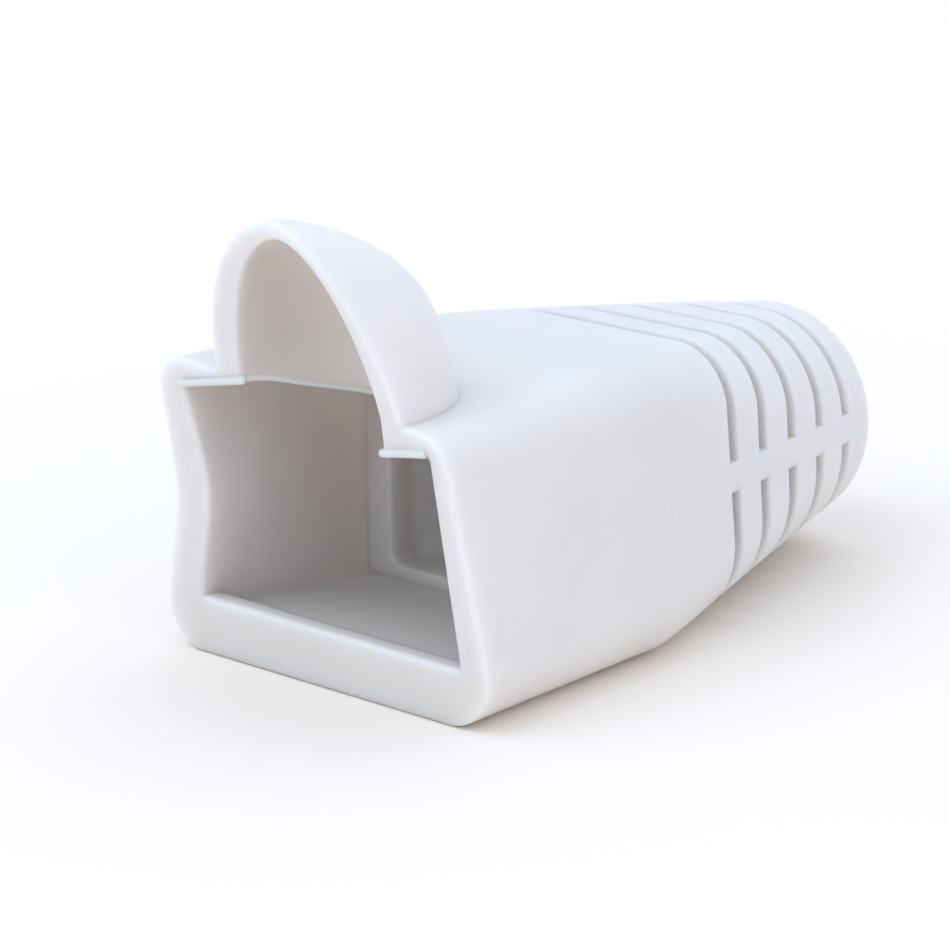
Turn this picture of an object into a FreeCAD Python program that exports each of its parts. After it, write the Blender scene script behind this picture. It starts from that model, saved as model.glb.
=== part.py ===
import FreeCAD, Part
import math
import os
from FreeCAD import Vector

# Strain relief boot for an RJ45 cable plug, moulded in one piece of soft PVC.
# It is modelled along Y, in millimetres: the plug goes in at the mouth, near
# Y = 0, and the cable leaves at the tail. Z is up and the box stands on Z = 0.
# The last step moves the origin to the middle of the box's flat underside.

# --- Box round the plug ------------------------------------------------------
MOUTH_RAKE = 0.136       # the mouth leans forward: it lies on Y = -MOUTH_RAKE * Z
BOX_LENGTH = 9.8         # from the mouth's foot to the crease in the underside
CAVITY_HALF = 6.05       # half width of the plug's cavity at the sill
WALL = 1.35              # thickness of the sides there
FOOT_HALF = CAVITY_HALF + WALL
SIDE_DRAFT = 0.115       # how much the half width shrinks for each mm of height
BOX_TAPER = 0.03         # how much it shrinks for each mm towards the tail
BOX_TOP = 10.55          # height of the roof at the mouth
ROOF_FALL = 0.025        # how much the roof falls for each mm towards the tail
FOOT_TRIM = 0.03         # the sections reach this far below the flat underside
LOW_RADIUS = 2.2         # lower long edges
HIGH_RADIUS = 1.2        # upper long edges at the mouth
HIGH_RADIUS_BACK = 1.6   # and at the crease

# --- Set of the soft mouth: it has relaxed out of true, most at its left -----
SET_LENGTH = 7.5         # the set has faded out this far behind the mouth
ROOF_TILT = 0.38         # the roof's left end is this much high, its right end low
CEILING_DROP = 0.17      # the ceiling's right end is low by this much
LEFT_FLARE = 0.55        # how far the left wall's foot stands out
LEFT_BULGE = 0.36        # and how far its top does
LEFT_WAIST = 0.55        # how far the wall is bent inward between them
INNER_WAIST = 0.75       # the same on its inside
INNER_LEAN = 0.23        # how far the top of its inside leans in
LEFT_LOW_RADIUS = 1.55
BEND = ((0.25, 0.6), (0.475, 1.0), (0.75, 0.47))   # where a side is bent, and its share
LEDGE_LIFT = 0.57        # the roof's free ends beside the latch opening: the left
LEDGE_DROP = 0.44        # one is bent up and the right one down
LEDGE_SET_START = -2.6   # their bend fades out between these two sections
LEDGE_SET_END = 2.0

# --- Cavity for the plug -----------------------------------------------------
CAVITY_DRAFT = 0.045     # how much its half width shrinks for each mm of height
CAVITY_TAPER = 0.55      # and how much from the sill to its far end, the shoulder
CAVITY_DEPTH = 7.43      # from the mouth's foot to the shoulder
CAVITY_RADIUS = 0.3
ROOF_THICKNESS = 0.78    # at the mouth
CEILING_FALL = 0.1       # how much the ceiling falls for each mm towards the tail
FLOOR_FRONT = 1.65       # height of the cavity floor behind the sill
FLOOR_FALL = 0.37        # how much lower it is at the shoulder
SILL_RISE = 0.5          # the lip across the foot of the mouth stands this high on it
SILL_DEPTH = 0.45
LEDGE_LEFT_INSET = 0.12  # the ceiling has a crease this far inside the latch hollow's
LEDGE_RIGHT_INSET = 0.3  # left edge, and one this far inside its right edge
LEDGE_RADIUS = 0.4
LEDGE_STEP = 0.04        # what is left of the creases at the shoulder
SHOULDER_HALF = CAVITY_HALF - CAVITY_TAPER
SHOULDER_CEILING = BOX_TOP - ROOF_THICKNESS - CEILING_FALL * CAVITY_DEPTH
FLOOR_BACK = FLOOR_FRONT - FLOOR_FALL
SILL_HEIGHT = FLOOR_FRONT + SILL_RISE

# --- Window behind the shoulder, and the cable bore --------------------------
SHOULDER_SIDE = 1.1      # width of the shoulder at the window's sides
SHOULDER_FOOT = 0.5      # under it
SHOULDER_HEAD = 1.027    # and above it
WINDOW_RADIUS = 0.6
WINDOW_DEPTH = 1.2       # its straight part
FUNNEL_LENGTH = 4.0      # from the window down to the bore
BORE_RADIUS = 2.7        # clears a 5.2 mm patch cable
WINDOW_HALF = SHOULDER_HALF - SHOULDER_SIDE
WINDOW_LOW = FLOOR_BACK + SHOULDER_FOOT
WINDOW_HIGH = SHOULDER_CEILING - SHOULDER_HEAD

# --- Flexible tail -----------------------------------------------------------
TAIL_LENGTH = 14.9
TAIL_RADIUS = 3.95
TAIL_AXIS = 4.8          # height of the cable's axis
TAIL_BLEND = 1.5         # length over which the sides turn into the taper
TAIL_EDGE = 0.9
SLOT_COUNT = 5
SLOT_FIRST = 4.2         # from the crease to the middle of the nearest slot
SLOT_PITCH = 2.07
SLOT_WIDTH = 0.65
SLOT_DEPTH_FIRST = 1.5
SLOT_DEPTH_LAST = 0.8
RIB_HEIGHT = 1.0         # solid rib between the upper and lower halves of a slot
RIB_AXIS_FIRST = 5.45    # height of the rib's middle at the first slot
RIB_AXIS_LAST = 5.1      # and at the last

# --- Hood over the plug's latch ----------------------------------------------
HOOD_SINK = 0.55         # the arches spring from this far below the top of the roof
HOOD_ROOT = 0.1          # and their straight legs go on down this much
HOOD_RISE = 6.37         # height of the arches
HOOD_HALF = 4.16         # half width of the hood at its base
HOOD_DEPTH = 5.13        # from the mouth to the back of the dome
HOOD_LEFT_POINT = 2.03   # 2 makes that side of the arch elliptical, less makes it
HOOD_RIGHT_POINT = 1.55  # straighter and more squares its shoulder
HOOD_SHIFT = 0.42        # the arch's foot stands this much to the right
HOOD_SWAY = 0.63         # and its top comes back this much to the left
HOOD_FALL = 0.05         # share of its height that the ridge loses towards the back
DOME_POWER = 2.43        # 2 makes the dome elliptical from mouth to back, more fuller
BACK_POINT = 3.7         # squareness of the arches at the back of the dome
HOOD_WALL_SIDE = 1.0     # thickness of the hood at its sides
HOOD_WALL_TOP = 0.54     # at its top
HOOD_WALL_BACK = 0.68    # and at its back
LATCH_LEFT_POINT = 1.97
LATCH_RIGHT_POINT = 1.68
LATCH_SHIFT = 0.12       # the hollow lies this much further right than the hood
LATCH_ROOT = 1.5         # and goes this far down through the roof
HOOD_BASE = BOX_TOP - HOOD_SINK
LATCH_HALF = HOOD_HALF - HOOD_WALL_SIDE
LATCH_RISE = HOOD_RISE - HOOD_WALL_TOP
LATCH_DEPTH = HOOD_DEPTH - HOOD_WALL_BACK
LATCH_MIDDLE = HOOD_SHIFT + LATCH_SHIFT
LEDGE_LEFT = LATCH_MIDDLE - LATCH_HALF + LEDGE_LEFT_INSET
LEDGE_RIGHT = LATCH_MIDDLE + LATCH_HALF - LEDGE_RIGHT_INSET

# --- Soft edges and the parting bead -----------------------------------------
RIM_ROUND = 0.15         # outer edge of the mouth and hood
ARCH_ROUND = 0.1         # inner edge of the hood
INNER_ROUND = 0.15       # inner edge of the mouth's left wall and sill
BORE_ROUND = 0.3         # cable bore at the end of the tail
BEAD_RADIUS = 0.1        # bead that the mould leaves round the latch hollow's foot
EDGE_BEAD_RADIUS = 0.14  # and along the free ends of the roof
EDGE_BEAD_ROUND = 0.112  # rounding of its tip
EDGE_BEAD_INSET = 0.5    # it starts this far in from the sill's half width
EDGE_BEAD_REACH = 0.2    # and reaches this far into the hollow

FRONT = -3.0             # solids start here, to be trimmed by the plane of the mouth
OVERLAP = 0.5            # how far hollows that follow each other run into each other
FAR = 40.0               # beyond every side of the boot


def smooth(t):
    """Ease from 0 to 1 with level ends."""
    t = min(max(t, 0.0), 1.0)
    return t * t * (3.0 - 2.0 * t)


def blend(a, b, t):
    """Value a fraction t of the way from a to b."""
    return a + (b - a) * t


def rounded_outline(y, corners, radii, bows):
    """Closed wire in the plane Y = y with rounded corners and bowed sides.

    corners are (x, z) pairs in order round the outline, radii belong to the
    corners, and bows is how far the side after each corner curves inward."""
    count = len(corners)
    points = [Vector(x, y, z) for x, z in corners]
    starts, mids, ends = [], [], []
    for i, point in enumerate(points):
        back = (points[i - 1] - point).normalize()
        ahead = (points[(i + 1) % count] - point).normalize()
        half = 0.5 * back.getAngle(ahead)
        reach = radii[i] / math.tan(half)
        centre = point + (back + ahead).normalize() * (radii[i] / math.sin(half))
        starts.append(point + back * reach)
        mids.append(centre + (point - centre).normalize() * radii[i])
        ends.append(point + ahead * reach)
    edges = []
    for i in range(count):
        edges.append(Part.Arc(starts[i], mids[i], ends[i]).toShape())
        a, b = ends[i], starts[(i + 1) % count]
        if bows[i]:
            inward = Vector(a.z - b.z, 0, b.x - a.x).normalize()
            bent = [a + (b - a) * t + inward * (bows[i] * share) for t, share in BEND]
            curve = Part.BSplineCurve()
            curve.interpolate([a] + bent + [b])
            edges.append(curve.toShape())
        else:
            edges.append(Part.LineSegment(a, b).toShape())
    return Part.Wire(edges)


def mouth_set(y):
    """How much of the mouth's set is left at this depth, from 1 to 0."""
    return 1.0 - smooth(y / SET_LENGTH)


def ledge_set(y):
    """How much of the bend of the roof's free ends is left at this depth."""
    return 1.0 - smooth((y - LEDGE_SET_START) / (LEDGE_SET_END - LEDGE_SET_START))


def box_section(y):
    """Outer section of the box."""
    depth = max(y, 0.0)
    lasting = mouth_set(y)
    tilt = ROOF_TILT * lasting
    top = BOX_TOP - ROOF_FALL * depth
    foot = FOOT_HALF - BOX_TAPER * depth
    corners = [
        (-foot - LEFT_FLARE * lasting, -FOOT_TRIM),
        (foot, -FOOT_TRIM),
        (foot - SIDE_DRAFT * (top - tilt), top - tilt),
        (-foot + SIDE_DRAFT * (top + tilt) - LEFT_BULGE * lasting, top + tilt),
    ]
    low_left = blend(LOW_RADIUS, LEFT_LOW_RADIUS, lasting)
    high = blend(HIGH_RADIUS, HIGH_RADIUS_BACK, smooth(depth / BOX_LENGTH))
    bows = [0, 0.01, 0.01, 0.01 + LEFT_WAIST * lasting]
    return rounded_outline(y, corners, [low_left, LOW_RADIUS, high, high], bows)


def tail_section(y, inset=0.0):
    """Outer section of the tail, from the box's rounded square to a round end."""
    run = y - BOX_LENGTH
    t = run / TAIL_LENGTH
    turned = run - TAIL_BLEND / 2 if run > TAIL_BLEND else run * run / (2 * TAIL_BLEND)
    untapered = FOOT_HALF - BOX_TAPER * (BOX_LENGTH + TAIL_LENGTH)
    taper = (untapered - TAIL_RADIUS) / (TAIL_LENGTH - TAIL_BLEND / 2)
    foot = FOOT_HALF - BOX_TAPER * y - taper * turned - inset
    draft = SIDE_DRAFT * (1.0 - t)
    box_top = BOX_TOP - ROOF_FALL * BOX_LENGTH
    low = blend(-FOOT_TRIM, TAIL_AXIS - TAIL_RADIUS, t ** 1.2) + inset
    top = blend(box_top, TAIL_AXIS + TAIL_RADIUS, t ** 1.2) - inset
    corners = [
        (-foot, low),
        (foot, low),
        (foot - draft * top, top),
        (-foot + draft * top, top),
    ]
    roundest = min(foot - draft * top, (top - low) / 2) - 0.02
    low_radius = min(blend(LOW_RADIUS, TAIL_RADIUS + 0.1, t ** 0.8), roundest)
    high_radius = min(blend(HIGH_RADIUS_BACK, TAIL_RADIUS + 0.1, t), roundest)
    radii = [low_radius, low_radius, high_radius, high_radius]
    return rounded_outline(y, corners, radii, [0, 0.002, 0.002, 0.002])


def ceiling_corners(y):
    """Corners (x, z) of the ceiling's section, from right to left."""
    depth = max(y, 0.0)
    lasting = mouth_set(y)
    high = BOX_TOP - ROOF_THICKNESS - CEILING_FALL * depth
    half_front = CAVITY_HALF - CAVITY_DRAFT * (high - FLOOR_FRONT)
    half = blend(half_front, SHOULDER_HALF, depth / CAVITY_DEPTH)
    right = high - CEILING_DROP * lasting
    left = high + ROOF_TILT * lasting
    return [
        (half, right),
        (LEDGE_RIGHT, right - LEDGE_STEP - LEDGE_DROP * ledge_set(y)),
        (LEDGE_LEFT, left + LEDGE_STEP + LEDGE_LIFT * ledge_set(y)),
        (-half + INNER_LEAN * lasting, left),
    ]


def cavity_section(y):
    """Section of the plug's cavity, without the sill."""
    t = max(y, 0.0) / CAVITY_DEPTH
    low = blend(FLOOR_FRONT, FLOOR_BACK, t)
    half = blend(CAVITY_HALF, SHOULDER_HALF, t)
    corners = [(-half, low), (half, low)] + ceiling_corners(y)
    small = CAVITY_RADIUS
    radii = [small, small, small, LEDGE_RADIUS, LEDGE_RADIUS, small]
    bows = [0, 0.01, 0, 0, 0, 0.01 + INNER_WAIST * mouth_set(y)]
    return rounded_outline(y, corners, radii, bows)


def ceiling_point(x, depth):
    """Point of the ceiling at this x, this deep behind the plane of the mouth."""
    z = HOOD_BASE
    for _ in range(5):
        corners = ceiling_corners(depth - MOUTH_RAKE * z)
        for (x0, z0), (x1, z1) in zip(corners, corners[1:]):
            if x1 <= x <= x0:
                z = blend(z0, z1, (x - x0) / (x1 - x0))
    return Vector(x, depth - MOUTH_RAKE * z, z)


def window_section(y, t):
    """Section of the window at t = 0, which becomes the round bore at t = 1."""
    half = blend(WINDOW_HALF, BORE_RADIUS, t)
    low = blend(WINDOW_LOW, TAIL_AXIS - BORE_RADIUS, t)
    high = blend(WINDOW_HIGH, TAIL_AXIS + BORE_RADIUS, t)
    radius = blend(WINDOW_RADIUS, BORE_RADIUS - 0.02, t)
    corners = [(-half, low), (half, low), (half, high), (-half, high)]
    return rounded_outline(y, corners, [radius] * 4, [0] * 4)


def arch_wire(depth, half, height, foot, points, shift):
    """Arch in a plane parallel to the mouth, closed by straight legs and a foot."""
    steps = 12
    arch = []
    for i in range(steps + 1):
        angle = math.pi * i / steps
        power = 2.0 / (points[1] if i < steps / 2 else points[0])
        across = half * math.copysign(abs(math.cos(angle)) ** power, math.cos(angle))
        rise = height * abs(math.sin(angle)) ** power
        sway = HOOD_SWAY * rise / HOOD_RISE
        z = HOOD_BASE + rise
        arch.append(Vector(across + shift - sway, depth - MOUTH_RAKE * z, z))
    curve = Part.BSplineCurve()
    curve.interpolate(arch)
    left = Vector(arch[-1].x, depth - MOUTH_RAKE * foot, foot)
    right = Vector(arch[0].x, depth - MOUTH_RAKE * foot, foot)
    corners = [arch[-1], left, right, arch[0]]
    sides = [Part.LineSegment(a, b).toShape() for a, b in zip(corners, corners[1:])]
    return Part.Wire([curve.toShape()] + sides)


def dome_scale(t):
    """Size of the dome's arch at a fraction t of its depth."""
    return (1.0 - max(t, 0.0) ** DOME_POWER) ** (1.0 / DOME_POWER)


def half_dome(half, height, depth, foot, points, shift):
    """Half dome behind the mouth: arches that shrink towards its back."""
    arches = []
    for degrees in (-12, 0, 15, 30, 45, 60, 70, 78, 83, 86):
        t = math.sin(math.radians(degrees))
        scale = dome_scale(t)
        here = [blend(point, BACK_POINT, max(t, 0.0)) for point in points]
        rise = height * scale * (1.0 - HOOD_FALL * t)
        arches.append(arch_wire(depth * t, half * scale, rise, foot, here, shift))
    return Part.makeLoft(arches, True, False)


def block(x_half, y0, y1, z0, z1):
    """Box that is centred on X = 0."""
    return Part.makeBox(2 * x_half, y1 - y0, z1 - z0, Vector(-x_half, y0, z0))


def behind_mouth():
    """Everything behind the plane of the mouth."""
    space = block(FAR, 0, FAR, -FAR, FAR)
    space.rotate(Vector(0, 0, 0), Vector(1, 0, 0), math.degrees(math.atan(MOUTH_RAKE)))
    return space


def outer_form():
    """Box, tail and hood, trimmed by the plane of the mouth and flat underneath."""
    box_steps = [FRONT, 0.0, 0.25 * BOX_LENGTH, 0.5 * BOX_LENGTH, 0.75 * BOX_LENGTH, BOX_LENGTH]
    box = Part.makeLoft([box_section(y) for y in box_steps], True, False)
    plain_tail = TAIL_LENGTH - TAIL_EDGE
    tail_steps = [BOX_LENGTH + plain_tail * t for t in (0, 0.04, 0.12, 0.28, 0.45, 0.62, 0.8, 1)]
    tail = Part.makeLoft([tail_section(y) for y in tail_steps], True, False)
    end_rounding = []
    for degrees in (0, 20, 40, 60, 75, 90):
        angle = math.radians(degrees)
        y = BOX_LENGTH + plain_tail + TAIL_EDGE * math.sin(angle)
        end_rounding.append(tail_section(y, TAIL_EDGE * (1 - math.cos(angle))))
    tail_end = Part.makeLoft(end_rounding, True, False)
    points = [HOOD_LEFT_POINT, HOOD_RIGHT_POINT]
    foot = HOOD_BASE - HOOD_ROOT
    hood = half_dome(HOOD_HALF, HOOD_RISE, HOOD_DEPTH, foot, points, HOOD_SHIFT)
    whole = box.fuse([tail, tail_end, hood]).common(behind_mouth())
    return whole.common(block(FAR, -FAR, FAR, 0, FAR))


def hollows():
    """Plug cavity, latch hollow, window, funnel and cable bore."""
    cavity_steps = [FRONT + (CAVITY_DEPTH - FRONT) * i / 7 for i in range(8)]
    cavity = Part.makeLoft([cavity_section(y) for y in cavity_steps], True, False)
    cavity = cavity.cut(block(FOOT_HALF, FRONT, SILL_DEPTH, 0, SILL_HEIGHT))
    points = [LATCH_LEFT_POINT, LATCH_RIGHT_POINT]
    foot = HOOD_BASE - LATCH_ROOT
    latch = half_dome(LATCH_HALF, LATCH_RISE, LATCH_DEPTH, foot, points, LATCH_MIDDLE)
    window_end = CAVITY_DEPTH + WINDOW_DEPTH
    funnel_end = window_end + FUNNEL_LENGTH
    window_ends = [window_section(y, 0) for y in (CAVITY_DEPTH - OVERLAP, window_end)]
    window = Part.makeLoft(window_ends, True, True)
    funnel = Part.makeLoft([window_section(window_end, 0), window_section(funnel_end, 1)], True, True)
    bore_start = Vector(0, funnel_end - OVERLAP, TAIL_AXIS)
    bore = Part.makeCylinder(BORE_RADIUS, FAR, bore_start, Vector(0, 1, 0))
    return [cavity, latch, window, funnel, bore]


def slots():
    """Ring slots of the tail, each in an upper and a lower half."""
    cutters = []
    for i in range(SLOT_COUNT):
        t = i / (SLOT_COUNT - 1)
        y = BOX_LENGTH + SLOT_FIRST + i * SLOT_PITCH
        depth = blend(SLOT_DEPTH_FIRST, SLOT_DEPTH_LAST, t)
        rib_axis = blend(RIB_AXIS_FIRST, RIB_AXIS_LAST, t)
        slab = block(FOOT_HALF, y - SLOT_WIDTH / 2, y + SLOT_WIDTH / 2, -OVERLAP, BOX_TOP)
        ends = [tail_section(y + side * SLOT_WIDTH, depth) for side in (-1, 1)]
        core = Part.makeLoft(ends, True, True)
        rib_low = rib_axis - RIB_HEIGHT / 2
        rib = block(FOOT_HALF, y - SLOT_WIDTH, y + SLOT_WIDTH, rib_low, rib_low + RIB_HEIGHT)
        cutters.append(slab.cut([core, rib]))
    return cutters


def mouth_face(shape):
    """Face of the shape in the plane of the mouth."""
    faces = [f for f in shape.Faces if all(abs(v.Y + MOUTH_RAKE * v.Z) < 0.001 for v in f.Vertexes)]
    return max(faces, key=lambda face: face.Area)


def inner_rim(shape):
    """Edges round the openings in the mouth's face."""
    rim = mouth_face(shape)
    return [e for w in rim.Wires if not w.isSame(rim.OuterWire) for e in w.Edges]


def soften(shape):
    """Rounds the rim of mouth and hood, then inside it the left wall, sill and hood."""
    shape = shape.makeFillet(RIM_ROUND, mouth_face(shape).OuterWire.Edges).Solids[0]
    half_height = (BOX_TOP - SILL_HEIGHT) / 2
    walls = []
    for edge in inner_rim(shape):
        centre = edge.CenterOfMass
        is_sill = abs(centre.z - SILL_HEIGHT) < 0.01
        is_left_wall = centre.x < -LATCH_HALF and edge.Length > half_height
        if is_sill or is_left_wall:
            walls.append(edge)
    shape = shape.makeFillet(INNER_ROUND, walls).Solids[0]
    arch = [e for e in inner_rim(shape) if e.CenterOfMass.z > BOX_TOP]
    return shape.makeFillet(ARCH_ROUND, arch).Solids[0]


def hollow_bead():
    """Bead of the parting line round the latch hollow's foot."""
    track = []
    for degrees in (4, 18, 32, 46, 60, 72, 82, 90, 98, 108, 120, 134, 148, 162, 176):
        t = math.sin(math.radians(degrees))
        side = -1 if degrees < 90 else 1
        x = LATCH_MIDDLE + side * LATCH_HALF * dome_scale(t)
        track.append(ceiling_point(x, LATCH_DEPTH * t))
    curve = Part.BSplineCurve()
    curve.interpolate(track)
    path = curve.toShape()
    circle = Part.makeCircle(BEAD_RADIUS, track[0], path.tangentAt(path.FirstParameter))
    return Part.Wire([path]).makePipeShell([Part.Wire([circle])], True, False)


def edge_bead(side):
    """Bead along the free end of the roof at the left (-1) or right (1) of the hollow."""
    start = ceiling_point(side * (CAVITY_HALF - EDGE_BEAD_INSET), 0.0)
    end = ceiling_point(LATCH_MIDDLE + side * (LATCH_HALF - EDGE_BEAD_REACH), 0.0)
    rod = Part.makeCylinder(EDGE_BEAD_RADIUS, (end - start).Length, start, end - start)
    tip = [e for e in rod.Edges if (e.CenterOfMass - end).Length < 0.001]
    return rod.makeFillet(EDGE_BEAD_ROUND, tip)


def bore_edge(shape):
    """The cable bore's edge at the end of the tail."""
    end = BOX_LENGTH + TAIL_LENGTH
    around = 2 * math.pi * BORE_RADIUS
    ends = [e for e in shape.Edges if abs(e.BoundBox.YMin - end) < 0.001]
    return [e for e in ends if abs(e.Length - around) < 0.01]


boot = soften(outer_form().cut(hollows()).Solids[0])
boot = boot.fuse([hollow_bead(), edge_bead(-1), edge_bead(1)]).cut(slots()).Solids[0]
boot = boot.makeFillet(BORE_ROUND, bore_edge(boot)).Solids[0]
boot.translate(Vector(0, -BOX_LENGTH / 2, 0))
os.makedirs("parts", exist_ok=True)
boot.exportStep("parts/strain_relief_boot.step")
print("centre of mass", boot.CenterOfMass)
print("solids", len(boot.Solids), "valid", boot.isValid(), "volume", round(boot.Volume, 1), boot.BoundBox)
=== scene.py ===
import math

import bpy
from mathutils import Matrix, Vector


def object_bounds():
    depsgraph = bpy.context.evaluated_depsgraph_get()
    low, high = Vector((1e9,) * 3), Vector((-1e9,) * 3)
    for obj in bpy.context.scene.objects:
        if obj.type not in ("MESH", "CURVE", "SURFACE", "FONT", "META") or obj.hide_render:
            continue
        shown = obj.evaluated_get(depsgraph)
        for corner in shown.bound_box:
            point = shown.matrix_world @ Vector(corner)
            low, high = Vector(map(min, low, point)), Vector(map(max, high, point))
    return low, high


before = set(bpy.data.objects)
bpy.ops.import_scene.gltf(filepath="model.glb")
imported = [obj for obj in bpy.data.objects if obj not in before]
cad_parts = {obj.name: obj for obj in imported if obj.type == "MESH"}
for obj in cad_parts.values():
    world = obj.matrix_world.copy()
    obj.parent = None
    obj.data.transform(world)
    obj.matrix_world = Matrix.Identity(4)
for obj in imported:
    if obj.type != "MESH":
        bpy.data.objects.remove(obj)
cad_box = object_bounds()


# --- Boot ---------------------------------------------------------------------
# The boot is one injection moulding in soft white PVC, slipped over the cable
# before its plug. The solid already has the real walls, hood, beads and slots,
# so its shape stays and it only gets the finish of the material.
MM = 0.001                   # metres
EDGE_SOFTNESS = 0.2 * MM     # the mould's edges look rounded over this width
MOTTLE_SIZE = 4.0 * MM       # patches of slightly different white
GRAIN_SIZE = 0.12 * MM       # fine grain of the mould's surface
GRAIN_DEPTH = 0.02 * MM
LIGHT_REACH = 1.4 * MM       # how far light spreads below the surface
WHITES = ("#D7D1C9", "#DBD5CD")


def sheet_colour(code):
    """Linear red, green, blue and alpha of an sRGB hex value."""
    parts = [int(code[i:i + 2], 16) / 255 for i in (1, 3, 5)]
    linear = [p / 12.92 if p <= 0.04045 else ((p + 0.055) / 1.055) ** 2.4 for p in parts]
    return (*linear, 1.0)


def add(owner, kind, links=None, **settings):
    """Adds a node: settings name its own properties or inputs, links feed its inputs."""
    node = owner.node_tree.nodes.new("ShaderNode" + kind)
    for name, value in settings.items():
        if hasattr(node, name):
            setattr(node, name, value)
        else:
            node.inputs[name.replace("_", " ")].default_value = value
    for name, source in (links or {}).items():
        owner.node_tree.links.new(source, node.inputs[name])
    return node


# Soft PVC, moulded: a matt warm white, barely mottled, with a faint grain. Light
# goes in and comes out again nearby, which brightens thin walls and narrow slots.
pvc = bpy.data.materials.new("soft moulded PVC")
pvc.use_nodes = True
pvc.node_tree.nodes.clear()
where = add(pvc, "TexCoord")
edge = add(pvc, "Bevel", samples=6, Radius=EDGE_SOFTNESS)
mottle = add(
    pvc, "TexNoise", {"Vector": where.outputs["Object"]},
    Scale=1 / MOTTLE_SIZE, Detail=3.0, Roughness=0.5,
)
tint = add(pvc, "ValToRGB", {"Fac": mottle.outputs["Fac"]})
for stop, position, colour in zip(tint.color_ramp.elements, (0.3, 0.7), WHITES):
    stop.position = position
    stop.color = sheet_colour(colour)
grain = add(pvc, "TexNoise", {"Vector": where.outputs["Object"]}, Scale=1 / GRAIN_SIZE, Detail=2.0)
bump = add(
    pvc, "Bump", {"Height": grain.outputs["Fac"], "Normal": edge.outputs["Normal"]},
    Strength=0.08, Distance=GRAIN_DEPTH,
)
plastic = add(
    pvc, "BsdfPrincipled", {"Base Color": tint.outputs["Color"], "Normal": bump.outputs["Normal"]},
    Roughness=0.5, IOR=1.53, Subsurface_Weight=1.0, Subsurface_Scale=LIGHT_REACH,
    Subsurface_Radius=(1.0, 0.9, 0.93),
)
add(pvc, "OutputMaterial", {"Surface": plastic.outputs[0]})
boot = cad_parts["strain_relief_boot"]
boot.data.materials.clear()
boot.data.materials.append(pvc)


# --- Studio -------------------------------------------------------------------
# A sheet of white paper in a bright room: cool soft light from all round, and a
# little more from one softbox high in front and a weaker one at the right.
SOFTBOXES = (
    # name, place seen from the boot and size in mm, power in watts, colour
    ("front_softbox", (-40, -110, 160), 120, 0.089, "#DAE8FF"),
    ("right_softbox", (150, -30, 70), 120, 0.028, "#F3F3FF"),
)
ROOM_COLOUR = "#DAE8FF"
ROOM_STRENGTH = 1.31
PAPER_HALF = 2000 * MM       # so that its edge is out of sight
PAPER_GAP = 0.01 * MM        # keeps the paper just clear of the flat underside
FADE_START = 20 * MM         # the paper's shading fades to plain white between
FADE_END = 50 * MM           # these distances from the boot's middle

box_low, box_high = Vector(cad_box[0]), Vector(cad_box[1])
middle = (box_low + box_high) / 2

# The room itself is plain white to the camera and in reflections.
world = bpy.data.worlds.new("studio")
bpy.context.scene.world = world
world.use_nodes = True
world.node_tree.nodes.clear()
path = add(world, "LightPath")
seen = add(
    world, "Math", {0: path.outputs["Is Camera Ray"], 1: path.outputs["Is Glossy Ray"]},
    operation="MAXIMUM",
)
seen = add(world, "Math", {0: seen.outputs[0], 1: path.outputs["Is Transmission Ray"]}, operation="MAXIMUM")
soft = add(world, "Background", Color=sheet_colour(ROOM_COLOUR), Strength=ROOM_STRENGTH)
white = add(world, "Background", Color=sheet_colour("#FFFFFF"), Strength=1.0)
mixed = add(world, "MixShader", {0: seen.outputs[0], 1: soft.outputs[0], 2: white.outputs[0]})
add(world, "OutputWorld", {"Surface": mixed.outputs[0]})

for name, place, size, power, colour in SOFTBOXES:
    lamp = bpy.data.objects.new(name, bpy.data.lights.new(name, "AREA"))
    lamp.data.shape = "SQUARE"
    lamp.data.size = size * MM
    lamp.data.energy = power
    lamp.data.color = sheet_colour(colour)[:3]
    lamp.location = middle + Vector(place) * MM
    lamp.rotation_euler = (middle - lamp.location).to_track_quat("-Z", "Y").to_euler()
    bpy.context.scene.collection.objects.link(lamp)

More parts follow.
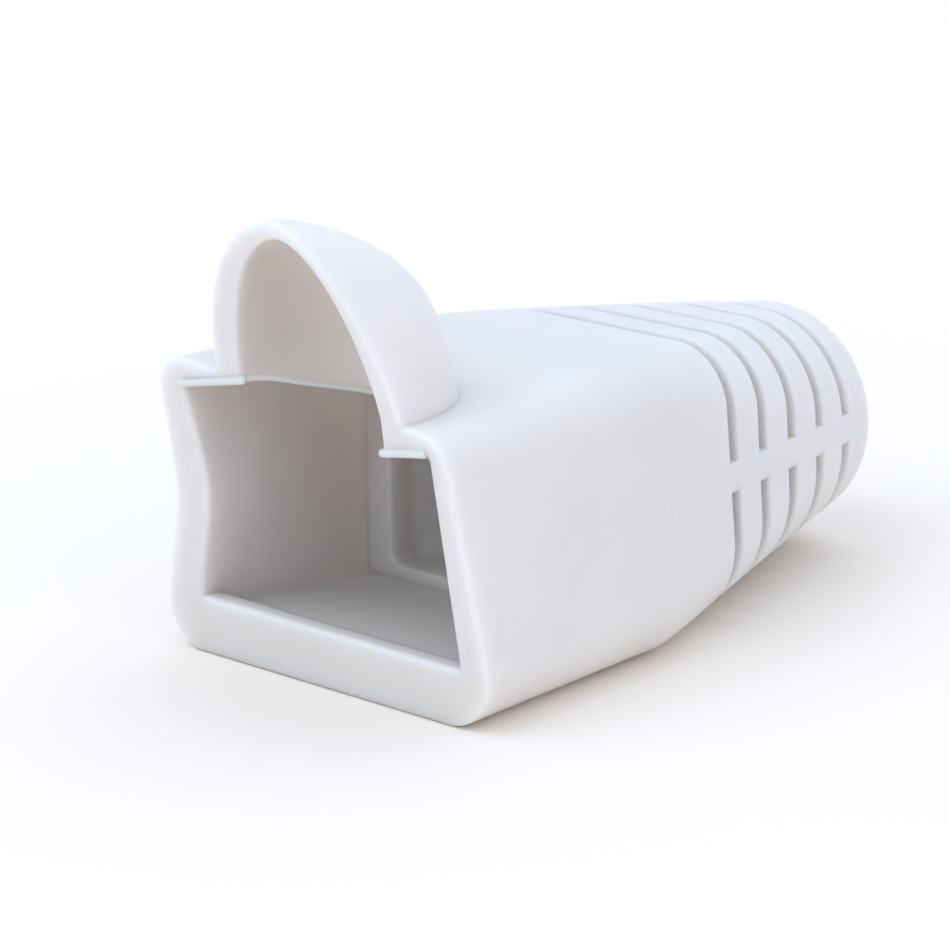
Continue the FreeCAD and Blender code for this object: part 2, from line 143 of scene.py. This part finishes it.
# Matt paper, a little warm so that the cool light leaves it neutral. It keeps the
# boot's shadow, and further out the camera sees it as plain white.
paper = bpy.data.materials.new("pale studio paper")
paper.use_nodes = True
paper.node_tree.nodes.clear()
where = add(paper, "TexCoord")
from_middle = add(paper, "VectorMath", {0: where.outputs["Object"]}, operation="SUBTRACT")
from_middle.inputs[1].default_value = (middle.x, middle.y, 0)
distance = add(paper, "VectorMath", {0: from_middle.outputs[0]}, operation="LENGTH")
fade = add(paper, "MapRange", {"Value": distance.outputs["Value"]}, interpolation_type="SMOOTHSTEP")
fade.inputs["From Min"].default_value = FADE_START
fade.inputs["From Max"].default_value = FADE_END
path = add(paper, "LightPath")
seen = add(paper, "Math", {0: path.outputs["Is Camera Ray"], 1: fade.outputs[0]}, operation="MULTIPLY")
matt = add(paper, "BsdfDiffuse", Color=sheet_colour("#F7EBDC"))
glow = add(paper, "Emission", Color=sheet_colour("#FFFFFF"), Strength=1.0)
mixed = add(paper, "MixShader", {0: seen.outputs[0], 1: matt.outputs[0], 2: glow.outputs[0]})
add(paper, "OutputMaterial", {"Surface": mixed.outputs[0]})

floor_mesh = bpy.data.meshes.new("floor")
signs = ((-1, -1), (1, -1), (1, 1), (-1, 1))
floor_mesh.from_pydata([(x * PAPER_HALF, y * PAPER_HALF, 0) for x, y in signs], [], [(0, 1, 2, 3)])
floor_mesh.materials.append(paper)
floor = bpy.data.objects.new("floor", floor_mesh)
floor.location.z = box_low.z - PAPER_GAP
bpy.context.scene.collection.objects.link(floor)


# --- Camera -------------------------------------------------------------------
# A long lens well back from the boot, held a little above the table: it sees the
# mouth, the right side and the roof at once.
TURN = math.radians(42.38)   # from straight ahead of the mouth, round to its right
RISE = math.radians(16.38)   # above the table
ROLL = math.radians(-0.555)
STAND_OFF = 141.8 * MM
AIM = Vector((-2.77, -0.82, -3.56)) * MM     # from the boot's middle, where it looks
SENSOR_WIDTH = 36.0          # mm, as is the lens
LENS = 151.6

backward = Vector((
    math.sin(TURN) * math.cos(RISE),
    -math.cos(TURN) * math.cos(RISE),
    math.sin(RISE),
))
camera = bpy.data.objects.new("camera", bpy.data.cameras.new("camera"))
camera.data.sensor_width = SENSOR_WIDTH
camera.data.lens = LENS
camera.data.clip_start = 0.01
camera.data.clip_end = 20.0
stand = Matrix.Translation(middle + AIM + backward * STAND_OFF)
turned = backward.to_track_quat("Z", "Y").to_matrix().to_4x4()
camera.matrix_world = stand @ turned @ Matrix.Rotation(ROLL, 4, "Z")
bpy.context.scene.collection.objects.link(camera)
bpy.context.scene.camera = camera
bpy.context.scene.view_settings.view_transform = "Standard"
